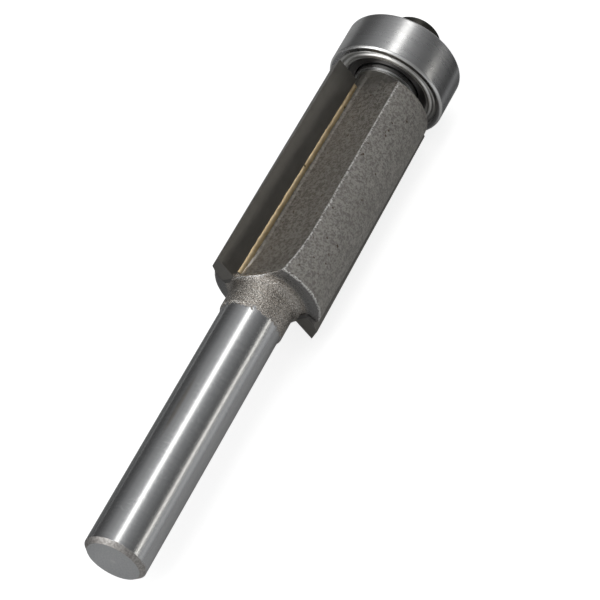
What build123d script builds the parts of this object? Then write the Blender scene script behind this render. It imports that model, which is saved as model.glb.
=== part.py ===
from build123d import *
import math
import os

# Flush trim router bit with a guide bearing on its end, lying on its side, in millimetres.
# +Y runs along the axis from the shank's end face to the screw and +Z is up.
# The origin is the centre of the shank's end face.

# Shank and neck
shank_d = 6.35
shank_length = 28.7
shank_end_chamfer = 0.45
neck_d = 6.7
neck_length = 3.35
neck_fillet = 1.0

# Fluted body, with its end towards the shank
body_d = 11.4
body_length = 26.0
end_cone_d = 10.8
end_cone_length = 0.35
end_bevel_length = 0.15
body_edge_break = 0.12

# Flutes: each is a square notch between the wall of the web and the rake face
web_thickness = 4.8
shear_angle = 1.85
flute_root_fillet = 0.38
runout_length = 6.45
runout_radius = 33.0
runout_corner = 1.0
cutter_overrun = 1.5

# Roll about the axis in which the bit rests on the edges of one flute
resting_roll = 26.7

# Carbide plates
cutting_d = 12.6
plate_thickness = 1.8
plate_inner_edge = 3.3
plate_lead = 0.55
plate_overhang = 0.55
rake_setback = 0.95
land_width = 1.66
land_clearance = 16.5
heel_d = 10.92

# Braze behind and beside each plate
braze_film = 0.08
braze_band = 0.48
pocket_lip_d = 10.9
pocket_lip_angle = 45.0

# Shoulder, shim and spigot that carry the bearing
shoulder_d = 6.4
shoulder_length = 1.7
shim_d = 6.6
shim_thickness = 0.3
spigot_clearance = 0.01
spigot_setback = 0.2
spigot_chamfer = 0.15
tapped_hole_depth = 11.0
drill_point_angle = 118.0

# Guide bearing
bearing_od = 12.7
bearing_bore = 4.7625
bearing_width = 4.978
ball_d = 2.381
ball_count = 7
ball_sides = 16
ball_bands = 8
pitch_d = 8.732
race_clearance = 0.02
groove_ratio = 0.53
inner_shoulder_d = 6.9
outer_shoulder_d = 10.5
ring_chamfer = 0.22

# Shields, one crimped into each face of the outer ring
shield_seat_d = 11.28
shield_seat_depth = 0.6
shield_sheet = 0.16
shield_bead_outer_d = 10.35
shield_bead_inner_d = 9.0
shield_bead_setback = 0.1
shield_web_setback = 0.5
shield_gap = 0.12
shield_slant = 0.1

# Crown cage that spaces the balls
cage_wall = 0.7
cage_back = 0.35
cage_horn = 0.55
cage_pocket_clearance = 0.05

# Retaining screw and its washer
washer_d = 6.6
washer_thickness = 0.4
washer_hole_clearance = 0.05
screw_d = 3.175
screw_length = 9.525
screw_tip_chamfer = 0.4
screw_hole_clearance = 0.01
head_d = 5.2
head_height = 3.175
head_chamfer = 0.25
socket_flats = 2.38
socket_depth = 1.6

# Stations along the axis
shank_r = shank_d / 2
neck_r = neck_d / 2
body_r = body_d / 2
cutting_r = cutting_d / 2
neck_end = shank_length + neck_length
cone_end = neck_end + end_cone_length
body_start = cone_end + end_bevel_length
body_end = body_start + body_length
shoulder_end = body_end + shoulder_length
bearing_start = shoulder_end + shim_thickness
bearing_end = bearing_start + bearing_width
bearing_middle = (bearing_start + bearing_end) / 2
spigot_r = bearing_bore / 2 - spigot_clearance
spigot_end = bearing_end - spigot_setback
washer_end = bearing_end + washer_thickness
head_end = washer_end + head_height
plate_start = body_start - plate_lead
plate_end = body_end + plate_overhang
plate_middle = (plate_start + plate_end) / 2
cutter_end = shoulder_end + cutter_overrun
screw_hole_r = screw_d / 2 + screw_hole_clearance


def turned(points):
    """Solid of revolution about the axis, from points given as (radius, station)."""
    return revolve(make_face(Polyline(*points, close=True)), Axis.Y)


def drill_point(radius):
    """Length of the cone that a drill of this radius leaves."""
    return radius / math.tan(math.radians(drill_point_angle / 2))


def half_turn(solid):
    """The same solid on the other side of the axis."""
    return Rot(0, 180, 0) * solid


def laid_down(solid):
    """Turn the cutter about its axis to the roll in which it rests."""
    return Rot(0, -resting_roll, 0) * solid


def turned_blank():
    """Shank, neck, body, shoulder and spigot as they leave the lathe."""
    points = [
        (0, 0),
        (shank_r - shank_end_chamfer, 0),
        (shank_r, shank_end_chamfer),
        (shank_r, shank_length),
        (neck_r, shank_length + neck_r - shank_r),
        (neck_r, neck_end),
        (end_cone_d / 2, cone_end),
        (body_r, body_start),
        (body_r, body_end - body_edge_break),
        (body_r - body_edge_break, body_end),
        (shoulder_d / 2, body_end),
        (shoulder_d / 2, shoulder_end),
        (spigot_r, shoulder_end),
        (spigot_r, spigot_end - spigot_chamfer),
        (spigot_r - spigot_chamfer, spigot_end),
        (0, spigot_end),
    ]
    outline = make_face(Polyline(*points, close=True))
    neck_corner = outline.vertices().sort_by_distance((neck_r, neck_end, 0))[0]
    return revolve(fillet(neck_corner, neck_fillet), Axis.Y)


def tapped_hole():
    """Blind hole for the screw, with the drill's point at its bottom."""
    bottom = spigot_end - tapped_hole_depth
    mouth = spigot_end + cutter_overrun
    point = bottom - drill_point(screw_hole_r)
    return turned([(0, point), (screw_hole_r, bottom), (screw_hole_r, mouth), (0, mouth)])


# The cutter is drawn with its rake face looking along +X and its cutting edge up.
# A section across the axis is given as points (x, z).


def rake_at(station):
    """Where the rake face stands at a station: it leans by the shear angle along the axis."""
    return math.tan(math.radians(shear_angle)) * (station - plate_middle) - rake_setback


def between_sections(section, start, end):
    """Straight-sided solid between a section at one station and the same section at another."""
    ends = [make_face(Polyline(*[(x, station, z) for x, z in section(station)], close=True))
            for station in (start, end)]
    return loft(ends, ruled=True)


def flute_cutter():
    """Square notch beside the web, whose wall curves outwards where the milling cutter ran out."""
    wall = web_thickness / 2
    beyond = body_d
    runout_start = body_start + runout_length
    lean = math.asin(runout_length / runout_radius)

    def on_runout(angle):
        """Point on the long arc of the cutter's rim, which reaches the body's end at the angle lean."""
        height = wall + runout_radius * (1 - math.cos(angle))
        return (0, runout_start - runout_radius * math.sin(angle), height)

    def on_corner(angle):
        """Point on the cutter's rounded corner, which takes over there and turns the wall outwards."""
        _, station, height = on_runout(lean)
        station -= runout_corner * (math.sin(angle) - math.sin(lean))
        height += runout_corner * (math.cos(lean) - math.cos(angle))
        return (0, station, height)

    _, exit_station, exit_wall = on_corner(math.pi / 2)
    edges = [
        Line((0, cutter_end, wall), on_runout(0)),
        ThreePointArc(on_runout(0), on_runout(lean / 2), on_runout(lean)),
        ThreePointArc(on_corner(lean), on_corner((lean + math.pi / 2) / 2), on_corner(math.pi / 2)),
        Line((0, exit_station, exit_wall), (0, exit_station, beyond)),
        Line((0, exit_station, beyond), (0, cutter_end, beyond)),
        Line((0, cutter_end, beyond), (0, cutter_end, wall)),
    ]
    notch = extrude(Face(Wire(edges)), amount=body_d, dir=(1, 0, 0))
    root = [edge for edge in notch.edges()
            if abs(edge.center().X) < 0.001 and edge.center().Z < wall + 1 and edge.length > runout_length]
    notch = fillet(root, flute_root_fillet)
    return Pos(-rake_setback, plate_middle, 0) * Rot(0, 0, -shear_angle) * Pos(0, -plate_middle, 0) * notch


def plate_section(station):
    """Carbide plate across the axis: rake face, land behind the edge, heel, back and inner edge."""
    rake = rake_at(station)
    back = rake - plate_thickness
    edge = math.sqrt(cutting_r**2 - rake**2)
    slope = math.atan2(-rake, edge) + math.radians(land_clearance)
    land_x = rake - land_width * math.cos(slope)
    land_z = edge - land_width * math.sin(slope)
    heel = math.sqrt((heel_d / 2)**2 - back**2)
    return [(rake, plate_inner_edge), (rake, edge), (land_x, land_z), (back, heel), (back, plate_inner_edge)]


def pocket_section(station):
    """Seat behind the rake face for the plate and its braze, with the lip broken at the land."""
    rake = rake_at(station)
    back = rake - plate_thickness - braze_film
    floor = plate_inner_edge - braze_band
    beyond = body_d
    lip = math.sqrt((pocket_lip_d / 2)**2 - back**2)
    slope = math.radians(pocket_lip_angle) + math.atan2(back, lip)
    reach = 1.0
    lip_x = back - reach * math.cos(slope)
    lip_z = lip + reach * math.sin(slope)
    return [(rake, floor), (rake, beyond), (lip_x, beyond), (lip_x, lip_z), (back, lip), (back, floor)]


def braze_section(station):
    """Braze across the axis: a film behind the plate and a band beside it, level with the rake face."""
    rake = rake_at(station)
    back = rake - plate_thickness
    film = back - braze_film
    floor = plate_inner_edge - braze_band
    heel = math.sqrt((heel_d / 2)**2 - back**2)
    lip = math.sqrt((pocket_lip_d / 2)**2 - film**2)
    return [(rake, floor), (rake, plate_inner_edge), (back, plate_inner_edge), (back, heel), (film, lip),
            (film, floor)]


def ring(outer_d, inner_d, start, end):
    """Plain ring between two stations."""
    outer, inner = outer_d / 2, inner_d / 2
    return turned([(inner, start), (outer, start), (outer, end), (inner, end)])


def race_groove(side):
    """Round groove for the balls: side is 1 in the inner ring and -1 in the outer ring."""
    radius = ball_d * groove_ratio
    centre = pitch_d / 2 + side * (radius - ball_d / 2 - race_clearance)
    return Pos(0, bearing_middle, 0) * Rot(90, 0, 0) * Torus(centre, radius)


def inner_ring():
    return ring(inner_shoulder_d, bearing_bore, bearing_start, bearing_end) - race_groove(1)


def outer_ring():
    """Outer ring: chamfered rim, a counterbore for a shield in each face, and the race between them."""
    rim, seat, shoulder = bearing_od / 2, shield_seat_d / 2, outer_shoulder_d / 2
    near_half = [
        (shoulder, bearing_middle),
        (shoulder, bearing_start + shield_seat_depth),
        (seat, bearing_start + shield_seat_depth),
        (seat, bearing_start),
        (rim - ring_chamfer, bearing_start),
        (rim, bearing_start + ring_chamfer),
    ]
    far_half = [(radius, 2 * bearing_middle - station) for radius, station in near_half[1:]]
    return turned(near_half + far_half[::-1]) - race_groove(-1)


def sheet_outline(path, thickness):
    """Closed outline of a bent sheet: the path is one face, and the other lies to its left."""
    turns = [math.atan2(b[1] - a[1], b[0] - a[0]) for a, b in zip(path, path[1:])]
    before = [turns[0]] + turns
    after = turns + [turns[-1]]
    other = []
    for (x, y), first, second in zip(path, before, after):
        middle = (first + second) / 2
        offset = thickness / math.cos((second - first) / 2)
        other.append((x - offset * math.sin(middle), y + offset * math.cos(middle)))
    return path + other[::-1]


def shield():
    """Pressed shield for the near face: rim on its seat, raised bead, and a web down to the inner ring."""
    seat = bearing_start + shield_seat_depth - shield_sheet
    bead = bearing_start + shield_bead_setback
    web = bearing_start + shield_web_setback
    path = [
        (inner_shoulder_d / 2 + shield_gap, web),
        (shield_bead_inner_d / 2 - shield_slant, web),
        (shield_bead_inner_d / 2 + shield_slant, bead),
        (shield_bead_outer_d / 2 - shield_slant, bead),
        (shield_bead_outer_d / 2 + shield_slant, seat),
        (shield_seat_d / 2, seat),
    ]
    return turned(sheet_outline(path, shield_sheet))


def far_face(solid):
    """The same piece of the bearing at its other face."""
    return mirror(solid, Plane(origin=(0, bearing_middle, 0), z_dir=(0, 1, 0)))


def bearing_ball():
    """Ball in flat facets with every corner on its sphere: seven are sealed in, so few faces serve."""
    radius = ball_d / 2

    def corner(row, side):
        latitude = math.pi * (row / ball_bands - 0.5)
        longitude = 2 * math.pi * side / ball_sides
        across = radius * math.cos(latitude)
        return (across * math.sin(longitude), radius * math.sin(latitude), across * math.cos(longitude))

    facets = []
    for row in range(ball_bands):
        for side in range(ball_sides):
            low = [corner(row, side)] if row == 0 else [corner(row, side), corner(row, side + 1)]
            top = row == ball_bands - 1
            high = [corner(row + 1, side)] if top else [corner(row + 1, side + 1), corner(row + 1, side)]
            facets.append(make_face(Polyline(*low, *high, close=True)))
    return Solid(Shell(facets))


def on_pitch_circle(number):
    """Place of a ball on the circle through the balls' centres."""
    angle = 2 * math.pi * number / ball_count
    radius = pitch_d / 2
    return Pos(radius * math.sin(angle), bearing_middle, radius * math.cos(angle))


def ball_cage():
    """Crown cage in one piece: a ring whose pockets open on the screw's side to snap over the balls."""
    pocket_r = ball_d / 2 + cage_pocket_clearance
    back = bearing_middle - pocket_r - cage_back
    cage = ring(pitch_d + cage_wall, pitch_d - cage_wall, back, bearing_middle + cage_horn)
    for number in range(ball_count):
        angle = 360 * number / ball_count
        pocket = Pos(0, bearing_middle, 0) * Rot(0, angle, 0) * Pos(0, 0, pitch_d / 2)
        cage -= pocket * Cylinder(pocket_r, 2 * cage_wall)
    return cage


def retaining_screw():
    """Socket head screw: a plain shank in place of the thread, and a hexagon socket with a drill point."""
    screw_r = screw_d / 2
    head_r = head_d / 2
    tip = washer_end - screw_length
    profile = [
        (0, tip),
        (screw_r - screw_tip_chamfer, tip),
        (screw_r, tip + screw_tip_chamfer),
        (screw_r, washer_end),
        (head_r, washer_end),
        (head_r, head_end - head_chamfer),
        (head_r - head_chamfer, head_end),
        (0, head_end),
    ]
    bottom = head_end - socket_depth
    floor = Plane(origin=(0, bottom, 0), x_dir=(1, 0, 0), z_dir=(0, 1, 0))
    hexagon = floor * RegularPolygon(socket_flats / 2, 6, major_radius=False)
    socket = extrude(hexagon, amount=socket_depth + cutter_overrun)
    point = turned([(0, bottom - drill_point(socket_flats / 2)), (socket_flats / 2, bottom), (0, bottom)])
    return turned(profile) - socket - point


def bit_parts():
    """Every sub-part in place, by node name."""
    body = turned_blank() - tapped_hole()
    for cutter in (flute_cutter(), between_sections(pocket_section, plate_start, cutter_end)):
        body = body - cutter - half_turn(cutter)
    plate = between_sections(plate_section, plate_start, plate_end)
    braze = between_sections(braze_section, plate_start, body_end)
    parts = {
        "bit_body": laid_down(body),
        "carbide_plate_1": laid_down(plate),
        "carbide_plate_2": laid_down(half_turn(plate)),
        "braze_joint_1": laid_down(braze),
        "braze_joint_2": laid_down(half_turn(braze)),
        "shim_washer": ring(shim_d, bearing_bore, shoulder_end, bearing_start),
        "bearing_inner_ring": inner_ring(),
        "bearing_outer_ring": outer_ring(),
        "shield_near": shield(),
        "shield_far": far_face(shield()),
        "ball_cage": ball_cage(),
        "screw_washer": ring(washer_d, screw_d + 2 * washer_hole_clearance, bearing_end, washer_end),
        "retaining_screw": retaining_screw(),
    }
    for number in range(ball_count):
        parts["bearing_ball_%d" % (number + 1)] = on_pitch_circle(number) * bearing_ball()
    return parts


os.makedirs("parts", exist_ok=True)
for node, solid in bit_parts().items():
    export_step(solid, "parts/%s.step" % node)
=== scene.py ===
# %% [markdown]
# # A router bit on a white table
# This lesson dresses a finished CAD model of a flush trim router bit: a ground shank, a blasted fluted
# body with brazed carbide plates, a small shielded bearing and a black screw.
# The CAD shapes are already right, so most of the work is in edges, light and surface finish.

# %% Load the CAD model as a fixed frame
import math
import bmesh
import bpy
from mathutils import Matrix, Vector


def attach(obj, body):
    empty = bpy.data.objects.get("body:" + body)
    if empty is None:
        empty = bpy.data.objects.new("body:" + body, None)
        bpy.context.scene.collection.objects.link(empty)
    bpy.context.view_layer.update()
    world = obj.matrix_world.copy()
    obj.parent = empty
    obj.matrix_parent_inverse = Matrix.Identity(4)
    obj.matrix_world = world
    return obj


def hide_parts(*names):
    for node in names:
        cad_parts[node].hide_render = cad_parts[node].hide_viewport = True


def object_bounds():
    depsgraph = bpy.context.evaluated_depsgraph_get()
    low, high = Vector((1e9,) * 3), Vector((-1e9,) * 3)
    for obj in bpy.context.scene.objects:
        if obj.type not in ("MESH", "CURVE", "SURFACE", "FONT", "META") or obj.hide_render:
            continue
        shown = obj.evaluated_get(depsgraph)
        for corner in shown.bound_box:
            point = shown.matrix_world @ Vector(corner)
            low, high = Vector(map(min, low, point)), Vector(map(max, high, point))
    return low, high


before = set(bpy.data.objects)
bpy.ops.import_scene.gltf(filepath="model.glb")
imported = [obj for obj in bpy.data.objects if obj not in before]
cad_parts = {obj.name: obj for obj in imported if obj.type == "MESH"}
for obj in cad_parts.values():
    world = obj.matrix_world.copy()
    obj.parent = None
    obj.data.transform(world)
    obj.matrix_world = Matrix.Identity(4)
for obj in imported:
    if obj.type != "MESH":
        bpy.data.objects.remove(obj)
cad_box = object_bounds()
print("CAD box in metres:", [tuple(round(v, 5) for v in corner) for corner in cad_box])

# %% [markdown]
# ## The camera
# The photograph was taken with a long lens from the shank's side, above the bit.
# A camera can be placed by angles, but three directions are easier to read: what it sees as right, as up,
# and as backwards. They are written here round the bit's axis and then turned to the bit's roll.
# The lens follows from two lengths in pixels: the photograph's width, and the lens's distance to it.

# %% Place the camera
MM = 0.001
photo_roll = math.radians(30.0)
photo_pixels, lens_pixels, film_width = 600.0, 2658.0, 36.0
camera_spot = (223.01, 3.03, -98.48)


def round_axis(toward, across, along):
    """A vector given round the bit's axis, as a vector in the frame."""
    x = toward * math.sin(photo_roll) + across * math.cos(photo_roll)
    z = toward * math.cos(photo_roll) - across * math.sin(photo_roll)
    return Vector((x, along, z))


view_right = round_axis(0.25221, 0.86936, 0.42497)
view_up = round_axis(0.44369, -0.49418, 0.74761)
view_back = view_right.cross(view_up)
camera_data = bpy.data.cameras.new("photo_camera")
camera_data.sensor_width = film_width
camera_data.lens = film_width * lens_pixels / photo_pixels
camera_data.clip_start = 0.01
camera_data.clip_end = 20.0
camera = bpy.data.objects.new("photo_camera", camera_data)
bpy.context.scene.collection.objects.link(camera)
facing = Matrix((view_right, view_up, view_back)).transposed().to_4x4()
camera.matrix_world = Matrix.Translation(round_axis(*camera_spot) * MM) @ facing
bpy.context.scene.camera = camera
bpy.context.scene.view_settings.view_transform = "Standard"
print("camera at", [round(v, 4) for v in camera.matrix_world.translation], "lens", round(camera_data.lens, 1))

# %% [markdown]
# ## Small helpers for shader nodes
# A material is a tree of nodes. Adding each node by hand takes many lines, so one helper adds a node,
# sets its choices and fills its sockets, either with a number or with a link from another node.

# %% Helpers that add nodes
def add(tree, kind, sockets=None, **choices):
    """Add a node. sockets maps an input's name or place to a value or to another node's output."""
    node = tree.nodes.new(kind)
    for name, value in choices.items():
        setattr(node, name, value)
    for name, value in (sockets or {}).items():
        if isinstance(value, bpy.types.NodeSocket):
            tree.links.new(value, node.inputs[name])
        else:
            node.inputs[name].default_value = value
    return node


def calc(tree, operation, *values):
    """A Math node's result."""
    return add(tree, "ShaderNodeMath", dict(enumerate(values)), operation=operation).outputs[0]


def product(tree, first, *others):
    """The product of two or more values."""
    for other in others:
        first = calc(tree, "MULTIPLY", first, other)
    return first


def ramp(tree, value, low, high, from_value=0.0, to_value=1.0):
    """A smooth step from one value to another while the input goes from low to high."""
    node = add(tree, "ShaderNodeMapRange", {"Value": value, "From Min": low, "From Max": high,
                                            "To Min": from_value, "To Max": to_value},
               interpolation_type="SMOOTHSTEP")
    return node.outputs[0]


def blend(tree, mask, first, second):
    """A colour between two colours, each given as three numbers or as another node's output."""
    node = add(tree, "ShaderNodeMix", data_type="RGBA")
    for place, value in ((0, mask), (6, first), (7, second)):
        if isinstance(value, bpy.types.NodeSocket):
            tree.links.new(value, node.inputs[place])
        elif place:
            node.inputs[place].default_value = (*value, 1.0)
        else:
            node.inputs[place].default_value = value
    return node.outputs[2]


print("node helpers ready")

# %% [markdown]
# Some effects are needed in many materials. They could be copied into each, but a node group is one small
# tree with sockets of its own that any material can hold. One helper opens an empty group, and another
# places a group in a material.

# %% Helpers for shared groups
def group(name, inputs, outputs):
    """An empty shader node group with named sockets, and its input and output nodes."""
    tree = bpy.data.node_groups.new(name, "ShaderNodeTree")
    for label, kind, value in inputs:
        socket = tree.interface.new_socket(label, in_out="INPUT", socket_type="NodeSocket" + kind)
        socket.default_value = value
    for label, kind in outputs:
        tree.interface.new_socket(label, in_out="OUTPUT", socket_type="NodeSocket" + kind)
    return tree, tree.nodes.new("NodeGroupInput").outputs, tree.nodes.new("NodeGroupOutput").inputs


def use(tree, shared, **sockets):
    """Place a shared group in a tree. Socket names are written with _ for a space."""
    node = tree.nodes.new("ShaderNodeGroup")
    node.node_tree = shared
    for name, value in sockets.items():
        name = name.replace("_", " ")
        if isinstance(value, bpy.types.NodeSocket):
            tree.links.new(value, node.inputs[name])
        else:
            node.inputs[name].default_value = value
    return node.outputs


print("group helpers ready")

# %% [markdown]
# ## Shared effects
# Four effects come back on several finishes, so each is a node group that is built once.
# The first tells where a point lies on the bit: its distance from the axis, its station along it, and how
# far it lies across and ahead of the flute. Masks for worn edges are made from these.

# %% Group: place on the bit
flute_roll = math.radians(26.7)
across_flute = (-math.sin(flute_roll), 0.0, math.cos(flute_roll))
ahead_of_rake = (math.cos(flute_roll), 0.0, math.sin(flute_roll))
place_group, given, result = group(
    "place_on_bit", [("Coordinates", "Vector", (0, 0, 0))],
    [("Millimetres", "Vector"), ("Radius", "Float"), ("Station", "Float"),
     ("Across", "Float"), ("Ahead", "Float")])
scaled = add(place_group, "ShaderNodeVectorMath", {0: given["Coordinates"]}, operation="SCALE")
scaled.inputs["Scale"].default_value = 1000.0
split = add(place_group, "ShaderNodeSeparateXYZ", {0: scaled.outputs[0]}).outputs
flat = add(place_group, "ShaderNodeVectorMath", {0: scaled.outputs[0], 1: (1, 0, 1)}, operation="MULTIPLY")
reach = add(place_group, "ShaderNodeVectorMath", {0: flat.outputs[0]}, operation="LENGTH")
tree_links = place_group.links
tree_links.new(scaled.outputs[0], result["Millimetres"])
tree_links.new(reach.outputs["Value"], result["Radius"])
tree_links.new(split["Y"], result["Station"])
for label, direction in (("Across", across_flute), ("Ahead", ahead_of_rake)):
    part_along = add(place_group, "ShaderNodeVectorMath", {0: scaled.outputs[0], 1: direction},
                     operation="DOT_PRODUCT")
    tree_links.new(part_along.outputs["Value"], result[label])
print("group", place_group.name, "has", len(place_group.nodes), "nodes")

# %% [markdown]
# The second effect is grit, the mottled grain of a blasted or forged surface. A picture of such a surface
# could be used, but a noise has no seams. It has many octaves, its contrast can be raised, and a pattern
# of cells beside it marks a few small pits.

# %% Group: grit
grit_group, given, result = group(
    "grit", [("Millimetres", "Vector", (0, 0, 0)), ("Size", "Float", 0.3), ("Contrast", "Float", 0.5)],
    [("Value", "Float"), ("Pits", "Float")])
fineness = calc(grit_group, "DIVIDE", 1.0, given["Size"])
grain = add(grit_group, "ShaderNodeTexNoise",
            {"Vector": given["Millimetres"], "Scale": fineness, "Detail": 5.0, "Roughness": 0.62})
low = calc(grit_group, "MULTIPLY_ADD", given["Contrast"], 0.45, 0.02)
high = calc(grit_group, "SUBTRACT", 1.0, low)
grit_group.links.new(ramp(grit_group, grain.outputs[0], low, high), result["Value"])
shaken = add(grit_group, "ShaderNodeVectorMath", {0: grain.outputs["Color"], 1: (0.5, 0.5, 0.5)},
             operation="SUBTRACT")
moved = add(grit_group, "ShaderNodeVectorMath",
            {0: shaken.outputs[0], 1: (0.5, 0.5, 0.5), 2: given["Millimetres"]}, operation="MULTIPLY_ADD")
cells = add(grit_group, "ShaderNodeTexVoronoi", {"Vector": moved.outputs[0], "Scale": 1.5})
chosen = add(grit_group, "ShaderNodeSeparateColor", {0: cells.outputs["Color"]}).outputs[0]
pit_edge = ramp(grit_group, cells.outputs["Distance"], 0.13, 0.23, 1.0, 0.0)
pit = calc(grit_group, "MULTIPLY", pit_edge, ramp(grit_group, chosen, 0.80, 0.84))
grit_group.links.new(pit, result["Pits"])
print("group", grit_group.name, "has", len(grit_group.nodes), "nodes")

# %% [markdown]
# The third effect is turning lines, the fine rings that a lathe or a grinding wheel leaves. It is a noise
# that changes fast along the axis and hardly at all round it. The lines have to run round on an end face
# too, so the distance from the axis is added to the station.

# %% Group: turning lines
lines_group, given, result = group(
    "turning_lines",
    [("Millimetres", "Vector", (0, 0, 0)), ("Spacing", "Float", 0.05), ("Length", "Float", 1.0)],
    [("Value", "Float")])
split = add(lines_group, "ShaderNodeSeparateXYZ", {0: given["Millimetres"]}).outputs
flat = add(lines_group, "ShaderNodeVectorMath", {0: given["Millimetres"], 1: (1, 0, 1)}, operation="MULTIPLY")
reach = add(lines_group, "ShaderNodeVectorMath", {0: flat.outputs[0]}, operation="LENGTH").outputs["Value"]
round_way = add(lines_group, "ShaderNodeVectorMath", {0: flat.outputs[0]}, operation="NORMALIZE").outputs[0]
round_split = add(lines_group, "ShaderNodeSeparateXYZ", {0: round_way}).outputs
line_place = calc(lines_group, "DIVIDE", calc(lines_group, "ADD", split["Y"], reach), given["Spacing"])
slow_x = calc(lines_group, "DIVIDE", round_split["X"], given["Length"])
slow_z = calc(lines_group, "DIVIDE", round_split["Z"], given["Length"])
line_vector = add(lines_group, "ShaderNodeCombineXYZ", {0: slow_x, 1: line_place, 2: slow_z})
streaks = add(lines_group, "ShaderNodeTexNoise",
              {"Vector": line_vector.outputs[0], "Scale": 1.0, "Detail": 3.0, "Roughness": 0.6})
lines_group.links.new(ramp(lines_group, streaks.outputs[0], 0.25, 0.75), result["Value"])
print("group", lines_group.name, "has", len(lines_group.nodes), "nodes")

# %% [markdown]
# The fourth effect is handling scratches. Each could be drawn by hand, but a pattern of stretched cells has
# long thin edges that will do. It is used three times, turned another way each time, and a noise fades the
# edges in and out.

# %% Group: scratches
scratch_turns = ((0.3, 0.9, 0.2), (1.1, -0.5, 0.7), (-0.6, 0.4, 1.3))
scratch_group, given, result = group(
    "scratches", [("Millimetres", "Vector", (0, 0, 0)), ("Density", "Float", 1.0)], [("Value", "Float")])
total = None
for turns in scratch_turns:
    turned = add(scratch_group, "ShaderNodeMapping", {"Vector": given["Millimetres"],
                                                      "Rotation": turns,
                                                      "Scale": (0.25, 2.6, 2.6)})
    grid = add(scratch_group, "ShaderNodeTexVoronoi",
               {"Vector": turned.outputs[0], "Scale": given["Density"]}, feature="DISTANCE_TO_EDGE")
    fade = add(scratch_group, "ShaderNodeTexNoise",
               {"Vector": turned.outputs[0], "Scale": 1.3, "Detail": 1.0})
    line = calc(scratch_group, "MULTIPLY", ramp(scratch_group, grid.outputs[0], 0.0, 0.025, 1.0, 0.0),
                ramp(scratch_group, fade.outputs[0], 0.56, 0.66))
    total = line if total is None else calc(scratch_group, "MAXIMUM", total, line)
scratch_group.links.new(total, result["Value"])
print("group", scratch_group.name, "has", len(scratch_group.nodes), "nodes")


# %% [markdown]
# ## A start for each finish
# Every finish begins in the same way: a Principled shader, the object's own coordinates, and the first
# shared group. Object coordinates stay with the piece when it turns, so the pattern turns with it.

# %% Helper: begin a material
def finish_start(name, metallic, slot_colour):
    """A new material with its tree, its shader node and its place on the bit."""
    material = bpy.data.materials.new(name)
    material.use_nodes = True
    material.diffuse_color = (*slot_colour, 1.0)
    tree = material.node_tree
    shader = tree.nodes["Principled BSDF"]
    shader.inputs["Metallic"].default_value = metallic
    coordinates = tree.nodes.new("ShaderNodeTexCoord").outputs["Object"]
    return material, tree, shader, use(tree, place_group, Coordinates=coordinates)


def finish_end(tree, shader, colour, roughness, height, depth):
    """Link colour and roughness, and a height in parts of a depth in millimetres."""
    tree.links.new(colour, shader.inputs["Base Color"])
    tree.links.new(roughness, shader.inputs["Roughness"])
    bump = add(tree, "ShaderNodeBump", {"Strength": 1.0, "Distance": depth * MM, "Height": height})
    tree.links.new(bump.outputs[0], shader.inputs["Normal"])


print("material helpers ready")

# %% [markdown]
# ## The steel body's finish
# One bar of steel shows four finishes. The shank is ground bright, the neck has a fine glittering grain, the
# flutes and the lands are blasted, and the ridges and ends are rubbed bright. They could be four materials
# on four sets of faces, but the ground part ends in a ragged line, so one material with soft masks suits
# better.

# %% Material: steel body
shank_end, land_start, land_radius = 28.75, 32.55, 5.7
cone_inner_radius = 4.35
web_wall, runout_top, runout_radius = 2.4, 39.0, 33.0
steel, tree, shader, place = finish_start("blasted_and_ground_steel", 1.0, (0.33, 0.33, 0.32))
mm = place["Millimetres"]
coarse = use(tree, grit_group, Millimetres=mm, Size=0.42, Contrast=0.62)
fine = use(tree, grit_group, Millimetres=mm, Size=0.20, Contrast=0.78)
broad = use(tree, grit_group, Millimetres=mm, Size=3.0, Contrast=0.5)
neck_grain = use(tree, grit_group, Millimetres=mm, Size=0.10, Contrast=0.8)
ground_lines = use(tree, lines_group, Millimetres=mm, Spacing=0.05, Length=0.5)["Value"]
turned_lines = use(tree, lines_group, Millimetres=mm, Spacing=0.13, Length=0.4)["Value"]
marks = use(tree, scratch_group, Millimetres=mm, Density=0.5)["Value"]
ragged = calc(tree, "MULTIPLY_ADD", coarse["Value"], 0.55, place["Station"])
is_ground = ramp(tree, ragged, shank_end + 0.15, shank_end + 0.28, 1.0, 0.0)
is_land = calc(tree, "MULTIPLY", ramp(tree, place["Radius"], land_radius - 0.06, land_radius - 0.02),
               ramp(tree, place["Station"], land_start - 0.08, land_start + 0.04))
is_body = ramp(tree, place["Station"], land_start - 0.1, land_start + 0.1)
is_cone = calc(tree, "MULTIPLY",
               ramp(tree, place["Radius"], cone_inner_radius - 0.25, cone_inner_radius + 0.25),
               ramp(tree, place["Station"], land_start - 0.1, land_start + 0.05, 1.0, 0.0))
print("steel zones: ground to", shank_end, "mm, land from", land_start, "mm")

# %% [markdown]
# Handling rubs raised edges bright. Each edge's place follows from the bit's own sizes, so a mask is a short
# distance from it: the ridge where a flute's wall meets its land, the land's low end, and the pocket's lip.

# %% Steel body: worn ridge, land end and lip
across_size = calc(tree, "ABSOLUTE", place["Across"])
quadrant = calc(tree, "MULTIPLY", place["Across"], place["Ahead"])
drop = calc(tree, "MAXIMUM", calc(tree, "SUBTRACT", runout_top, place["Station"]), 0.0)
wall_here = calc(tree, "MULTIPLY_ADD", calc(tree, "MULTIPLY", drop, drop), 0.5 / runout_radius, web_wall)
low_end = ramp(tree, place["Station"], land_start + 4.0, land_start + 14.0, 1.0, 0.9)
same_side = product(tree, ramp(tree, quadrant, 1.0, 3.0), low_end)
wobble = calc(tree, "MULTIPLY_ADD", coarse["Value"], 0.12, calc(tree, "MULTIPLY", fine["Value"], 0.11))
off_ridge = calc(tree, "ABSOLUTE", calc(tree, "SUBTRACT", across_size, wall_here))
near_ridge = ramp(tree, calc(tree, "SUBTRACT", off_ridge, wobble), -0.06, 0.0, 1.0, 0.0)
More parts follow.
